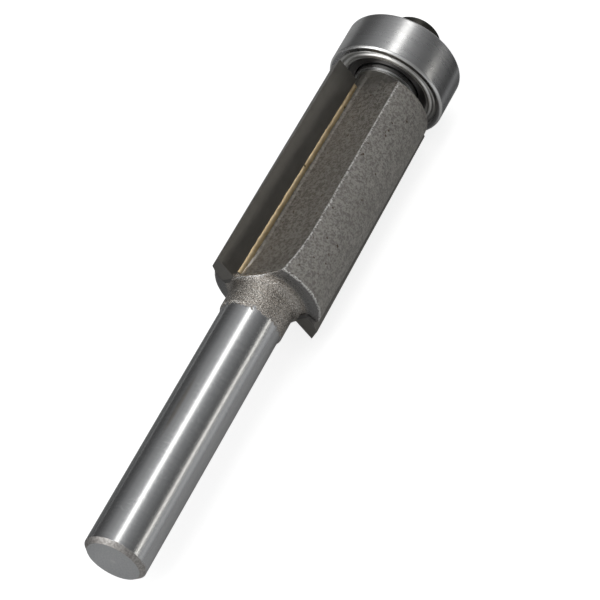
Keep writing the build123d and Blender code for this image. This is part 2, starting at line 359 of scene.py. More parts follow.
on_ridge = product(tree, near_ridge, same_side,
                   ramp(tree, place["Radius"], land_radius - 0.20, land_radius - 0.04))
off_end = calc(tree, "ABSOLUTE", calc(tree, "SUBTRACT", place["Station"], land_start))
near_end = ramp(tree, calc(tree, "SUBTRACT", off_end, wobble), -0.07, 0.0, 1.0, 0.0)
on_end = product(tree, near_end, ramp(tree, place["Radius"], land_radius - 0.20, land_radius - 0.08))
on_lip = product(tree, ramp(tree, quadrant, -6.0, -3.0, 1.0, 0.0), is_body,
                 ramp(tree, place["Radius"], land_radius - 0.32, land_radius - 0.26),
                 ramp(tree, place["Radius"], land_radius - 0.06, land_radius - 0.01, 1.0, 0.0))
print("worn edges: ridge, land end and pocket lip")

# %% [markdown]
# A thin bright line runs along each flute's foot, where its wall turns out over the cone. The edge in the
# CAD mesh is level at first and then climbs, and the mask follows it. A paler strip lies beside the plate,
# on the flute's root, which leans with the shear angle. Its pale colour is a painted highlight along the
# root's fillet, strongest at the low end.

# %% Steel body: foot line and root
foot_start, foot_rise, foot_turn = 31.82, 0.155, 0.75
ahead = calc(tree, "MULTIPLY", place["Ahead"], calc(tree, "SIGN", place["Across"]))
foot_climb = calc(tree, "MAXIMUM", calc(tree, "SUBTRACT", ahead, foot_turn), 0.0)
foot_station = calc(tree, "MULTIPLY_ADD", foot_climb, foot_rise, foot_start)
off_foot = calc(tree, "ABSOLUTE", calc(tree, "SUBTRACT", place["Station"], foot_station))
on_foot = product(tree, ramp(tree, off_foot, 0.07, 0.14, 1.0, 0.0), ramp(tree, ahead, -1.05, -0.85),
                  ramp(tree, across_size, 2.92, 3.00), ramp(tree, across_size, 3.60, 3.68, 1.0, 0.0), 0.8)
rubbed = on_ridge
for edge_mask in (on_end, on_foot, on_lip):
    rubbed = calc(tree, "MAXIMUM", rubbed, edge_mask)
worn = calc(tree, "MULTIPLY", rubbed, ramp(tree, fine["Value"], 0.15, 0.55, 0.35, 1.0))
shear, rake_middle, rake_setback = math.radians(1.85), 45.55, 0.95
rake_here = calc(tree, "MULTIPLY_ADD", place["Station"], math.tan(shear),
                 -rake_setback - rake_middle * math.tan(shear))
off_rake = calc(tree, "ABSOLUTE", calc(tree, "SUBTRACT", ahead, rake_here))
low_root = ramp(tree, place["Station"], land_start + 0.6, land_start + 4.2, 1.0, 0.22)
root_highlight_strip = product(tree, ramp(tree, across_size, web_wall, web_wall + 0.06),
                  ramp(tree, off_rake, 0.34, 0.46, 1.0, 0.0),
                  ramp(tree, across_size, 2.95, 3.05, 1.0, 0.0), is_body, low_root)
print("foot line starts at", foot_start, "mm")

# %% [markdown]
# The masks lay the rough colours over each other. The rubbed edges come last, as wear does.

# %% Steel body: colours of the rough zones
mottle = calc(tree, "MULTIPLY_ADD", coarse["Value"], 0.5, calc(tree, "MULTIPLY", fine["Value"], 0.5))
mottle = ramp(tree, mottle, 0.2, 0.8)
flute_colour = blend(tree, mottle, (0.145, 0.134, 0.121), (0.375, 0.355, 0.325))
land_colour = blend(tree, mottle, (0.27, 0.256, 0.238), (0.53, 0.51, 0.477))
neck_colour = blend(tree, neck_grain["Value"], (0.13, 0.121, 0.111), (1.0, 0.965, 0.91))
neck_colour = blend(tree, calc(tree, "MULTIPLY", turned_lines, 0.6), neck_colour, (0.40, 0.33, 0.27))
neck_colour = blend(tree, is_cone, neck_colour, (0.275, 0.272, 0.269))
# Painted shade: the flute's top darkens towards the bearing, where the bearing shades it.
painted_bearing_shade = ramp(tree, place["Station"], 57.8, 60.2, 0.0, 0.7)
flute_colour = blend(tree, painted_bearing_shade, flute_colour, (0.14, 0.135, 0.125))
rough_colour = blend(tree, is_body, neck_colour, flute_colour)
rough_colour = blend(tree, is_land, rough_colour, land_colour)
rough_colour = blend(tree, calc(tree, "MULTIPLY", broad["Value"], 0.30), rough_colour, (0.30, 0.28, 0.255))
rough_colour = blend(tree, product(tree, coarse["Pits"], is_body, 0.9), rough_colour, (0.11, 0.075, 0.055))
# The pale strip on the root is a painted highlight.
rough_colour = blend(tree, calc(tree, "MULTIPLY", root_highlight_strip, 0.8), rough_colour, (0.74, 0.71, 0.66))
rough_colour = blend(tree, calc(tree, "MULTIPLY", worn, 0.9), rough_colour, (0.95, 0.94, 0.92))
print("rough zones: neck, cone, flutes and lands")

# %% [markdown]
# The shank is ground, with a few handling scratches and one faint smear. Its end is a plain face inside a
# coarser chamfer, with a small mark at the centre.

# %% Steel body: colours of the ground shank
smear_middle, smear_stretch = (-0.44, 16.0, 3.14), (2.6, 0.22, 2.6)
chamfer_end, face_radius = 0.50, 2.71
ground_colour = blend(tree, ground_lines, (0.46, 0.465, 0.475), (0.53, 0.53, 0.53))
ground_colour = blend(tree, calc(tree, "MULTIPLY", marks, 0.35), ground_colour, (0.72, 0.72, 0.71))
smear_place = add(tree, "ShaderNodeVectorMath", {0: mm, 1: smear_middle}, operation="SUBTRACT").outputs[0]
smear_shape = add(tree, "ShaderNodeVectorMath", {0: smear_place, 1: smear_stretch}, operation="MULTIPLY")
smear_far = add(tree, "ShaderNodeVectorMath", {0: smear_shape.outputs[0]}, operation="LENGTH")
smear = calc(tree, "MULTIPLY", ramp(tree, smear_far.outputs["Value"], 0.25, 1.0, 1.0, 0.0),
             calc(tree, "MULTIPLY_ADD", broad["Value"], 0.4, 0.35))
ground_colour = blend(tree, smear, ground_colour, (0.33, 0.29, 0.24))
chamfer_edge = calc(tree, "MULTIPLY_ADD", coarse["Value"], 0.10, place["Station"])
is_chamfer = ramp(tree, chamfer_edge, chamfer_end - 0.04, chamfer_end + 0.04, 1.0, 0.0)
is_face = product(tree, ramp(tree, place["Station"], 0.02, 0.05, 1.0, 0.0),
                  ramp(tree, place["Radius"], face_radius - 0.03, face_radius + 0.03, 1.0, 0.0))
chamfer_colour = blend(tree, fine["Value"], (0.33, 0.312, 0.295), (0.54, 0.52, 0.50))
face_colour = blend(tree, fine["Value"], (0.53, 0.54, 0.55), (0.61, 0.615, 0.62))
off_centre = calc(tree, "MULTIPLY_ADD", fine["Value"], 0.3, place["Radius"])
face_colour = blend(tree, ramp(tree, off_centre, 0.25, 0.5, 0.4, 0.0), face_colour, (0.82, 0.82, 0.80))
ground_colour = blend(tree, is_chamfer, ground_colour, blend(tree, is_face, chamfer_colour, face_colour))
print("ground zones: shank, chamfer and end face")

# %% [markdown]
# Roughness and relief follow the same masks. The cone, the neck and the root are smoother than the blasted
# body, and the ground shank is nearly flat.

# %% Steel body: roughness and relief
steel_colour = blend(tree, is_ground, rough_colour, ground_colour)
ground_rough = calc(tree, "MULTIPLY_ADD", ground_lines, 0.05,
                    calc(tree, "MULTIPLY_ADD", is_chamfer, 0.20, 0.20))
rough_rough = calc(tree, "MULTIPLY_ADD", fine["Value"], 0.14, calc(tree, "MULTIPLY_ADD", is_body, 0.22, 0.16))
rough_rough = calc(tree, "MULTIPLY_ADD", root_highlight_strip, -0.12, rough_rough)
rough_rough = calc(tree, "MULTIPLY_ADD", is_land, -0.06, rough_rough)
rough_mix = add(tree, "ShaderNodeMix", {0: is_ground, 2: rough_rough, 3: ground_rough}, data_type="FLOAT")
rough_height = calc(tree, "MULTIPLY_ADD", neck_grain["Value"], 0.35,
                    calc(tree, "ADD", coarse["Value"], fine["Value"]))
rough_height = calc(tree, "MULTIPLY_ADD", coarse["Pits"], -1.2, rough_height)
smoother = calc(tree, "MAXIMUM", calc(tree, "MAXIMUM", is_cone, root_highlight_strip),
                calc(tree, "MULTIPLY_ADD", is_body, -0.65, 0.65))
rough_height = calc(tree, "MULTIPLY", rough_height, calc(tree, "MULTIPLY_ADD", smoother, -0.85, 1.0))
ground_height = calc(tree, "MULTIPLY_ADD", ground_lines, 0.012, calc(tree, "MULTIPLY", marks, -0.04))
chamfer_only = calc(tree, "SUBTRACT", is_chamfer, calc(tree, "MULTIPLY", is_face, 0.9))
ground_height = calc(tree, "MULTIPLY_ADD", calc(tree, "MULTIPLY", chamfer_only, fine["Value"]), 0.3,
                     ground_height)
height_mix = add(tree, "ShaderNodeMix", {0: is_ground, 2: rough_height, 3: ground_height}, data_type="FLOAT")
finish_end(tree, shader, steel_colour, rough_mix.outputs[0], height_mix.outputs[0], 0.04)
print("steel nodes:", len(tree.nodes))

# %% [markdown]
# ## Carbide, braze and the small steel parts
# Carbide is dark, hard and finely ground, so its faces are flat and satin, with faint grinding marks along
# the plate. The marks need no pattern of their own: they are the same grit, with its place stretched.

# %% Material: carbide
carbide, tree, shader, place = finish_start("ground_carbide", 1.0, (0.12, 0.12, 0.115))
mm = place["Millimetres"]
stretched = add(tree, "ShaderNodeVectorMath", {0: mm, 1: (8.0, 0.35, 8.0)}, operation="MULTIPLY").outputs[0]
brushed = use(tree, grit_group, Millimetres=stretched, Size=0.8, Contrast=0.3)
cloud = use(tree, grit_group, Millimetres=mm, Size=1.6, Contrast=0.3)
colour = blend(tree, cloud["Value"], (0.185, 0.178, 0.165), (0.225, 0.217, 0.202))
colour = blend(tree, calc(tree, "MULTIPLY", brushed["Value"], 0.25), colour, (0.26, 0.25, 0.235))
plate_start = 32.0
cut_end = ramp(tree, place["Station"], plate_start + 0.02, plate_start + 0.08, 1.0, 0.0)
colour = blend(tree, cut_end, colour, (0.27, 0.26, 0.243))
finish_end(tree, shader, colour, calc(tree, "MULTIPLY_ADD", cloud["Value"], 0.08, 0.46),
           brushed["Value"], 0.003)
print("carbide nodes:", len(tree.nodes))

# %% [markdown]
# Braze is an alloy the colour of brass that melted and froze in place. It is lumpy, and it keeps black spots
# of burnt flux. The spots could be painted, but the peaks of a noise lie as unevenly as they do. The low end
# is grey.

# %% Material: braze
braze, tree, shader, place = finish_start("gold_braze", 1.0, (0.55, 0.43, 0.24))
mm = place["Millimetres"]
lumps = use(tree, grit_group, Millimetres=mm, Size=0.9, Contrast=0.35)
grains = use(tree, grit_group, Millimetres=mm, Size=0.25, Contrast=0.5)
colour = blend(tree, lumps["Value"], (0.56, 0.415, 0.225), (0.78, 0.63, 0.40))
colour = blend(tree, calc(tree, "MULTIPLY", grains["Value"], 0.25), colour, (0.80, 0.72, 0.56))
flux = add(tree, "ShaderNodeTexNoise", {"Vector": mm, "Scale": 0.8, "Detail": 3.0, "Roughness": 0.7})
spots = ramp(tree, flux.outputs[0], 0.62, 0.66)
colour = blend(tree, calc(tree, "MULTIPLY", spots, 0.85), colour, (0.10, 0.08, 0.05))
at_end = ramp(tree, place["Station"], land_start - 0.1, land_start + 0.3, 1.0, 0.0)
colour = blend(tree, at_end, colour, (0.17, 0.165, 0.16))
finish_end(tree, shader, colour, calc(tree, "MULTIPLY_ADD", spots, 0.2, 0.55), lumps["Value"], 0.03)
print("braze nodes:", len(tree.nodes))

# %% [markdown]
# The bearing's ring was ground while it turned, so hair lines run round it and cross its highlight. The
# other bright pieces differ from it only in colour, in the spacing of the lines and in how smooth they are.
# So one helper makes all their finishes.

# %% Helper: bright steel with hair lines
ring_start, ring_end = 60.55, 65.528
ring_middle = (ring_start + ring_end) / 2


def lined_steel(name, dark, light, spacing, roughness, depth, slot_colour, painted_light_zone=None):
    """Turned or rolled steel with hair lines round the axis.

    The last argument, if given, paints one side of a radius in its own colour, as a painted highlight or
    painted shade: the radius, whether it is the inner side, the colour, and how far from the ring's middle
    this starts.
    """
    material, tree, shader, place = finish_start(name, 1.0, slot_colour)
    mm = place["Millimetres"]
    hair = use(tree, lines_group, Millimetres=mm, Spacing=spacing, Length=0.35)["Value"]
    wide = use(tree, lines_group, Millimetres=mm, Spacing=spacing * 5, Length=0.8)["Value"]
    cloud = use(tree, grit_group, Millimetres=mm, Size=2.2, Contrast=0.35)["Value"]
    marks = use(tree, scratch_group, Millimetres=mm, Density=0.7)["Value"]
    colour = blend(tree, hair, dark, light)
    colour = blend(tree, calc(tree, "MULTIPLY", cloud, 0.18), colour, dark)
    colour = blend(tree, calc(tree, "MULTIPLY", marks, 0.2), colour, (0.7, 0.7, 0.69))
    # Painted highlight or painted shade over one side of a radius, near the ring's faces.
    if painted_light_zone:
        edge, inner, other, start = painted_light_zone
        levels = (1.0, 0.0) if inner else (0.0, 1.0)
        off_middle = calc(tree, "ABSOLUTE", calc(tree, "SUBTRACT", place["Station"], ring_middle))
        mask = product(tree, ramp(tree, place["Radius"], edge - 0.04, edge + 0.04, *levels),
                       ramp(tree, off_middle, start - 0.03, start + 0.03))
        colour = blend(tree, mask, colour, other)
    rough = calc(tree, "MULTIPLY_ADD", wide, 0.05, calc(tree, "MULTIPLY_ADD", cloud, 0.05, roughness))
    finish_end(tree, shader, colour, rough, calc(tree, "MULTIPLY_ADD", wide, 0.6, hair), depth)
    return material


print("ring from", ring_start, "to", ring_end, "mm")

# %% [markdown]
# The shields are pressed from bright sheet, and the cage and the balls sit behind them. The ring's rims get
# a painted highlight, paler than its side, and the shields get painted shade, darker in their middle, so
# these two finishes take one more colour over part of the piece. The balls are polished, so they are the
# smoothest.

# %% Materials: ring, shields, shim, cage and balls
# The ring's pale rims are a painted highlight.
bearing_steel = lined_steel("turned_bearing_steel", (0.43, 0.43, 0.435), (0.485, 0.485, 0.485), 0.07, 0.235,
                            0.0003, (0.42, 0.42, 0.43), (6.12, False, (0.72, 0.72, 0.71), 2.28))
# The shields' dark middles are painted shade, deep inside the bearing.
shield_steel = lined_steel("pressed_shield_steel", (0.74, 0.73, 0.70), (0.93, 0.92, 0.89), 0.9, 0.30, 0.008,
                           (0.50, 0.50, 0.48), (4.42, True, (0.15, 0.145, 0.14), 1.5))
bright_steel = lined_steel("rolled_shim_steel", (0.58, 0.58, 0.57), (0.74, 0.74, 0.72), 0.06, 0.25, 0.001,
                           (0.55, 0.55, 0.55))
cage_steel = lined_steel("pressed_cage_steel", (0.42, 0.42, 0.42), (0.55, 0.55, 0.55), 0.2, 0.3, 0.001,
                         (0.50, 0.50, 0.50))
ball_steel = lined_steel("polished_ball_steel", (0.58, 0.58, 0.60), (0.62, 0.62, 0.64), 0.4, 0.08, 0.0001,
                         (0.60, 0.60, 0.62))
for material in (bearing_steel, shield_steel, bright_steel, cage_steel, ball_steel):
    print(material.name, "nodes:", len(material.node_tree.nodes))

# %% [markdown]
# The screw and its washer are blackened. The coat could be made as a black paint, but it is a thin oxide
# through which the steel still shines, so the shader stays a metal. It is a little cloudy, with faint
# turning lines.

# %% Material: blackened steel
black_steel, tree, shader, place = finish_start("black_oxide_steel", 1.0, (0.04, 0.04, 0.038))
mm = place["Millimetres"]
hair = use(tree, lines_group, Millimetres=mm, Spacing=0.09, Length=0.5)["Value"]
cloud = use(tree, grit_group, Millimetres=mm, Size=0.5, Contrast=0.4)
colour = blend(tree, cloud["Value"], (0.032, 0.032, 0.027), (0.060, 0.058, 0.052))
colour = blend(tree, calc(tree, "MULTIPLY", hair, 0.2), colour, (0.085, 0.082, 0.078))
finish_end(tree, shader, colour, calc(tree, "MULTIPLY_ADD", cloud["Value"], 0.15, 0.36), hair, 0.003)
print("materials:", len(bpy.data.materials))

# %% [markdown]
# ## Softer edges on the CAD shapes
# A CAD edge is perfectly sharp and catches no light, but a real edge always has a small radius that glints.
# A CAD mesh is never changed here. Instead its copy is welded, because a CAD mesh is loose triangles,
# and gets a narrow bevel. The copy then stands for the CAD piece.

# %% Helper: a bevelled copy of a CAD piece
def plain_mesh(piece):
    """Apply what the modifiers make of a piece and remove them."""
    seen = piece.evaluated_get(bpy.context.evaluated_depsgraph_get())
    made = bpy.data.meshes.new_from_object(seen)
    piece.modifiers.clear()
    piece.data = made
    return made


def new_piece(name, mesh, material, body, replaced=()):
    """A finished piece that rides on its body, and stands for CAD pieces if any are named."""
    piece = bpy.data.objects.new(name, mesh)
    bpy.context.scene.collection.objects.link(piece)
    mesh.materials.clear()
    mesh.materials.append(material)
    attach(piece, body)
    if replaced:
        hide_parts(*replaced)
    return piece


def soft_edged(node, name, width, material, body, sharp=28.0):
    """A copy of a CAD piece with its edges rounded to a width in millimetres."""
    mesh = bpy.data.meshes.new(name)
    shape = bmesh.new()
    shape.from_mesh(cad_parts[node].data)
    bmesh.ops.remove_doubles(shape, verts=shape.verts, dist=1e-7)
    bmesh.ops.dissolve_degenerate(shape, dist=1e-7, edges=shape.edges)
    bmesh.ops.dissolve_limit(shape, angle_limit=math.radians(1.0), verts=shape.verts, edges=shape.edges)
    for face in shape.faces:
        face.smooth = True
    for edge in shape.edges:
        bent = edge.calc_face_angle(0.0)
        edge.smooth = bent < math.radians(sharp)
    shape.to_mesh(mesh)
    shape.free()
    holder = bpy.data.objects.new(name + "_edges", mesh)
    bpy.context.scene.collection.objects.link(holder)
    rounding = holder.modifiers.new("edges", "BEVEL")
    rounding.width = width * MM
    rounding.segments = 2
    rounding.limit_method = "ANGLE"
    rounding.angle_limit = math.radians(sharp)
    rounding.use_clamp_overlap = True
    rounding.harden_normals = True
    made = plain_mesh(holder)
    bpy.data.objects.remove(holder)
    made.name = name
    return new_piece(name, made, material, body, (node,))


print("bevel helper ready")

# %% [markdown]
# Each piece gets its own width: wide on the blackened screw, narrow on the carbide, which is ground sharp.

# %% Bevelled copies
copies = [
    ("bit_body", "steel_body_skin", 0.05, steel, "steel_body"),
    ("carbide_plate_1", "carbide_skin_1", 0.025, carbide, "carbide"),
    ("carbide_plate_2", "carbide_skin_2", 0.025, carbide, "carbide"),
    ("braze_joint_1", "braze_skin_1", 0.02, braze, "braze"),
    ("braze_joint_2", "braze_skin_2", 0.02, braze, "braze"),
    ("shim_washer", "shim_skin", 0.03, bright_steel, "bright_steel"),
    ("screw_washer", "washer_skin", 0.06, black_steel, "black_steel"),
    ("retaining_screw", "screw_skin", 0.12, black_steel, "black_steel"),
]
for node, name, width, material, slot in copies:
    piece = soft_edged(node, name, width, material, "bit")
    print(name, len(piece.data.polygons), "faces")

# %% [markdown]
# ## Geometry Nodes: a helper and a lathe
# The bearing's ring and shields are mirrors, and a mirror shows every flat of a coarse mesh. They could be
# spun by a loop in Python, but their shape follows one rule, an outline turned about an axis, so one small
# Geometry Nodes tree makes them all. The tree's inputs are set on a modifier, its result is kept as a plain
# mesh, and the modifier goes.

# %% Helpers: an empty tree, its end, and a piece that it makes
def shape_tree(name, inputs):
    """An empty Geometry Nodes tree with named inputs, its input sockets and its output sockets."""
    tree = bpy.data.node_groups.new(name, "GeometryNodeTree")
    for label, kind in [("Points", "Geometry")] + inputs + [("Finish", "Material")]:
        tree.interface.new_socket(label, in_out="INPUT", socket_type="NodeSocket" + kind)
    tree.interface.new_socket("Piece", in_out="OUTPUT", socket_type="NodeSocketGeometry")
    return tree, tree.nodes.new("NodeGroupInput").outputs, tree.nodes.new("NodeGroupOutput").inputs


def tree_end(tree, shape, finish, result):
    """End a tree with smooth faces, real geometry and the piece's material."""
    smooth = add(tree, "GeometryNodeSetShadeSmooth", {"Geometry": shape}).outputs[0]
    whole = add(tree, "GeometryNodeRealizeInstances", {"Geometry": smooth}).outputs[0]
    painted = add(tree, "GeometryNodeSetMaterial", {"Geometry": whole, "Material": finish}).outputs[0]
    tree.links.new(painted, result[0])


def grown(name, tree, values, material, body, replaced=(), points=()):
    """A finished piece made by a tree from its values, and from points where the tree needs some."""
    base = bpy.data.meshes.new(name)
    base.from_pydata(points, [], [])
    holder = bpy.data.objects.new(name + "_tree", base)
    bpy.context.scene.collection.objects.link(holder)
    maker = holder.modifiers.new("tree", "NODES")
    maker.node_group = tree
    values = dict(values, Finish=material)
    for socket in tree.interface.items_tree:
        if socket.in_out == "INPUT" and socket.name in values:
            maker[socket.identifier] = values[socket.name]
    made = plain_mesh(holder)
    bpy.data.objects.remove(holder)
    made.name = name
    return new_piece(name, made, material, body, replaced)


print("tree helpers ready")

# %% [markdown]
# The lathe starts from a flat net of points. Each row of the net takes its radius and station from one point
# of the outline, each column takes its angle, and merging the last column and row with the first closes it.

# %% Tree: a lathe
lathe_tree, given, result = shape_tree("turned_piece", [("Sides", "Int")])
count = add(lathe_tree, "GeometryNodeAttributeDomainSize",
            {"Geometry": given["Points"]}).outputs["Point Count"]
rows = calc(lathe_tree, "ADD", count, 1.0)
columns = calc(lathe_tree, "ADD", given["Sides"], 1.0)
net = add(lathe_tree, "GeometryNodeMeshGrid", {"Vertices X": columns, "Vertices Y": rows}).outputs["Mesh"]
index = lathe_tree.nodes.new("GeometryNodeInputIndex").outputs[0]
row = calc(lathe_tree, "MODULO", index, rows)
column = calc(lathe_tree, "ROUND", calc(lathe_tree, "DIVIDE", calc(lathe_tree, "SUBTRACT", index, row), rows))
spot = lathe_tree.nodes.new("GeometryNodeInputPosition").outputs[0]
corner = add(lathe_tree, "GeometryNodeSampleIndex",
             {"Geometry": given["Points"], "Value": spot, "Index": calc(lathe_tree, "MODULO", row, count)},
             data_type="FLOAT_VECTOR").outputs[0]
corner = add(lathe_tree, "ShaderNodeSeparateXYZ", {0: corner}).outputs
angle = calc(lathe_tree, "DIVIDE", calc(lathe_tree, "MULTIPLY", column, 2 * math.pi), given["Sides"])
turned = add(lathe_tree, "ShaderNodeCombineXYZ",
             {0: calc(lathe_tree, "MULTIPLY", corner["X"], calc(lathe_tree, "SINE", angle)), 1: corner["Y"],
              2: calc(lathe_tree, "MULTIPLY", corner["X"], calc(lathe_tree, "COSINE", angle))}).outputs[0]
bent = add(lathe_tree, "GeometryNodeSetPosition", {"Geometry": net, "Position": turned}).outputs[0]
closed = add(lathe_tree, "GeometryNodeMergeByDistance", {"Geometry": bent, "Distance": 1e-7}).outputs[0]
tree_end(lathe_tree, closed, given["Finish"], result)
print("lathe tree has", len(lathe_tree.nodes), "nodes")


# %% [markdown]
# An outline is a short list of corners, and code gives each the small radius that catches the light.

# %% Helper: round an outline's corners and spin it
def rounded(points, radius, steps=4):
    """The outline with each corner replaced by a small arc."""
    made = []
    count = len(points)
    for number, point in enumerate(points):
        here = Vector(point)
        before = Vector(points[number - 1]) - here
        after = Vector(points[(number + 1) % count]) - here
        reach = min(radius, before.length * 0.45, after.length * 0.45)
        start = here + before.normalized() * reach
        end = here + after.normalized() * reach
        for step in range(steps + 1):
            t = step / steps
            made.append(start.lerp(here, t).lerp(here.lerp(end, t), t))
    return made


def turned_piece(name, outline, material, body, node):
    """A piece spun from an outline of (radius, station) in millimetres, run round against the clock."""
    points = [(radius * MM, station * MM, 0.0) for radius, station in outline]
    return grown(name, lathe_tree, {"Sides": 256}, material, body, (node,), points)


print("outline helpers ready")

# %% [markdown]
# The ring and its shields are the same at both faces, so one side is written and mirrored for the other.

# %% Bearing outer ring and shields
def mirrored(points):
    """The same outline at the bearing's other face."""
    return [(radius, 2 * ring_middle - station) for radius, station in points][::-1]


half_ring = [(5.25, ring_middle), (5.25, ring_start + 0.6), (5.64, ring_start + 0.6), (5.64, ring_start),
             (6.13, ring_start), (6.35, ring_start + 0.22)]
ring_outline = rounded(half_ring + mirrored(half_ring[1:]), 0.10)
ring_piece = turned_piece("outer_ring_skin", ring_outline, bearing_steel, "outer_race",
                          "bearing_outer_ring")
sheet = 0.16
shield_path = [(3.57, 0.50), (4.38, 0.50), (4.56, 0.15), (4.84, 0.04), (5.12, 0.15), (5.29, 0.44),
               (5.64, 0.44)]
lower = [(radius, ring_start + depth) for radius, depth in shield_path]
upper = [(radius, ring_start + depth + sheet) for radius, depth in shield_path][::-1]
for name, outline, node in (("shield_skin_near", lower + upper, "shield_near"),
                            ("shield_skin_far", mirrored(lower + upper), "shield_far")):
    turned_piece(name, rounded(outline, 0.14), shield_steel, "outer_race", node)
print("ring faces", len(ring_piece.data.polygons))

# %% [markdown]
# ## The balls
# The CAD balls have flat facets, to keep the simulation model light. Real balls are polished spheres, so a
# second small tree makes each one anew at its own place. Every ball turns by itself, so each is a piece.

# %% Seven round balls
ball_radius, pitch_radius, ball_count = 1.1905, 4.366, 7
ball_tree, given, result = shape_tree("round_ball", [("Radius", "Float"), ("Centre", "Vector")])
ball = add(ball_tree, "GeometryNodeMeshUVSphere", {"Segments": 48, "Rings": 24, "Radius": given["Radius"]})
placed = add(ball_tree, "GeometryNodeTransform",
             {"Geometry": ball.outputs[0], "Translation": given["Centre"]})
tree_end(ball_tree, placed.outputs[0], given["Finish"], result)
for number in range(1, ball_count + 1):
    angle = 2 * math.pi * (number - 1) / ball_count
    centre = (pitch_radius * MM * math.sin(angle), ring_middle * MM, pitch_radius * MM * math.cos(angle))
    grown("round_ball_%d" % number, ball_tree, {"Radius": ball_radius * MM, "Centre": centre}, ball_steel,
          "ball_%d" % number, ("bearing_ball_%d" % number,))
print("balls:", ball_count)

# %% [markdown]
# ## The bead of braze
# Braze melts, creeps out of the joint and freezes in a low uneven bead along the plate's root. A smooth tube
# would look drawn, so the tree sweeps a circle along the joint and then pushes its skin in and out by a noise
# with a fixed seed.

# %% A lumpy bead along each plate
bead_tree, given, result = shape_tree("braze_bead", [
    ("Start", "Vector"), ("End", "Vector"), ("Radius", "Float"), ("Lumps", "Float"), ("Seed", "Float")])
line = add(bead_tree, "GeometryNodeCurvePrimitiveLine",
           {"Start": given["Start"], "End": given["End"]}).outputs[0]
steps = add(bead_tree, "GeometryNodeResampleCurve", {"Curve": line, "Count": 240}).outputs[0]
rim = add(bead_tree, "GeometryNodeCurvePrimitiveCircle",
          {"Resolution": 16, "Radius": given["Radius"]}).outputs[0]
tube = add(bead_tree, "GeometryNodeCurveToMesh",
           {"Curve": steps, "Profile Curve": rim, "Fill Caps": True}).outputs[0]
spot = bead_tree.nodes.new("GeometryNodeInputPosition").outputs[0]
noise = add(bead_tree, "ShaderNodeTexNoise",
            {"Vector": spot, "W": given["Seed"], "Scale": 800.0, "Detail": 3.0},
            noise_dimensions="4D").outputs[0]
push = calc(bead_tree, "MULTIPLY", calc(bead_tree, "SUBTRACT", noise, 0.5), given["Lumps"])
normal = bead_tree.nodes.new("GeometryNodeInputNormal").outputs[0]
offset = add(bead_tree, "ShaderNodeVectorMath", {0: normal}, operation="SCALE")
bead_tree.links.new(push, offset.inputs["Scale"])
lumpy = add(bead_tree, "GeometryNodeSetPosition", {"Geometry": tube, "Offset": offset.outputs[0]}).outputs[0]
tree_end(bead_tree, lumpy, given["Finish"], result)


def beside_plate(station, across, sink, side):
    """A point at a plate's root, sunk under the rake face. side is 1 or -1 for the two plates."""
    ahead = math.tan(shear) * (station - rake_middle) - rake_setback - sink
    way = Vector(ahead_of_rake) * ahead + Vector(across_flute) * across
    return tuple((way * side + Vector((0.0, station, 0.0))) * MM)


bead_low, bead_high = (32.75, 3.06, 0.26), (58.5, 2.98, 0.36)
bead_radius, bead_lumps = 0.44, 0.22
for number, side in ((1, 1), (2, -1)):
    values = {"Start": beside_plate(*bead_low, side), "End": beside_plate(*bead_high, side),
              "Radius": bead_radius * MM, "Lumps": bead_lumps * MM, "Seed": 4.0 * number}
    piece = grown("braze_bead_%d" % number, bead_tree, values, braze, "bit")
    print(piece.name, len(piece.data.polygons), "faces")

# %% [markdown]
# ## Pieces that keep their CAD mesh
# The cage sits behind the shields, and the inner ring is nearly covered by its two washers. Their CAD meshes
# are good enough, and only their materials are set, on the slots that they already have.

# %% Give the cage and the inner ring their finishes
for node, material in {"bearing_inner_ring": bearing_steel, "ball_cage": cage_steel}.items():
    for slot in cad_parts[node].material_slots:
        slot.material = material
    print(node, "is", material.name)

# %% [markdown]
# ## The table
# The background is pure white. More light on the table would wash out the bit, so the table adds some white
# of its own, which the camera sees in full. Mirrors and glass see it too, but only a little of it, because
# the photograph's steel shows a dim studio. It is still a matt surface, so the bit keeps a soft shadow.

# %% Make the table
table_height = cad_box[0][2]
table_mesh = bpy.data.meshes.new("white_table")
half_side = 4.0
table_mesh.from_pydata([(-half_side, -half_side, table_height), (half_side, -half_side, table_height),
                        (half_side, half_side, table_height), (-half_side, half_side, table_height)],
                       [], [(0, 1, 2, 3)])
table = bpy.data.objects.new("white_table", table_mesh)
bpy.context.scene.collection.objects.link(table)
paper = bpy.data.materials.new("white_paper")
paper.use_nodes = True
tree = paper.node_tree
matt = tree.nodes["Principled BSDF"]
matt.inputs["Base Color"].default_value = (0.5, 0.5, 0.5, 1.0)
matt.inputs["Roughness"].default_value = 0.9
matt.inputs["Specular IOR Level"].default_value = 0.0
camera_white, mirror_white = 0.82, 0.04


def backdrop_white(tree, for_camera, for_mirrors):
    """White that a backdrop adds for the camera, and for mirrors and glass."""
    rays = tree.nodes.new("ShaderNodeLightPath").outputs
    mirrored_ray = calc(tree, "MAXIMUM", rays["Is Glossy Ray"], rays["Is Transmission Ray"])
    camera_part = calc(tree, "MULTIPLY", rays["Is Camera Ray"], for_camera)
    return calc(tree, "MULTIPLY_ADD", mirrored_ray, for_mirrors, camera_part)


own_white = backdrop_white(tree, camera_white, mirror_white)
tree.links.new(own_white, matt.inputs["Emission Strength"])
matt.inputs["Emission Color"].default_value = (1.0, 1.0, 1.0, 1.0)
table_mesh.materials.append(paper)
print("table at", round(table_height * 1000, 3), "mm")


# %% [markdown]
# ## Lamps, cards and sky
# Polished steel looks like what stands round it. A long lamp over the bit draws the bright streak down the
# shank, a narrow one at its right draws the second streak, and a sky that is dark at the left and right and
# pale overhead gives the slow shades between them.

# %% Lamps
target = Vector((0.0, 0.036, 0.0))


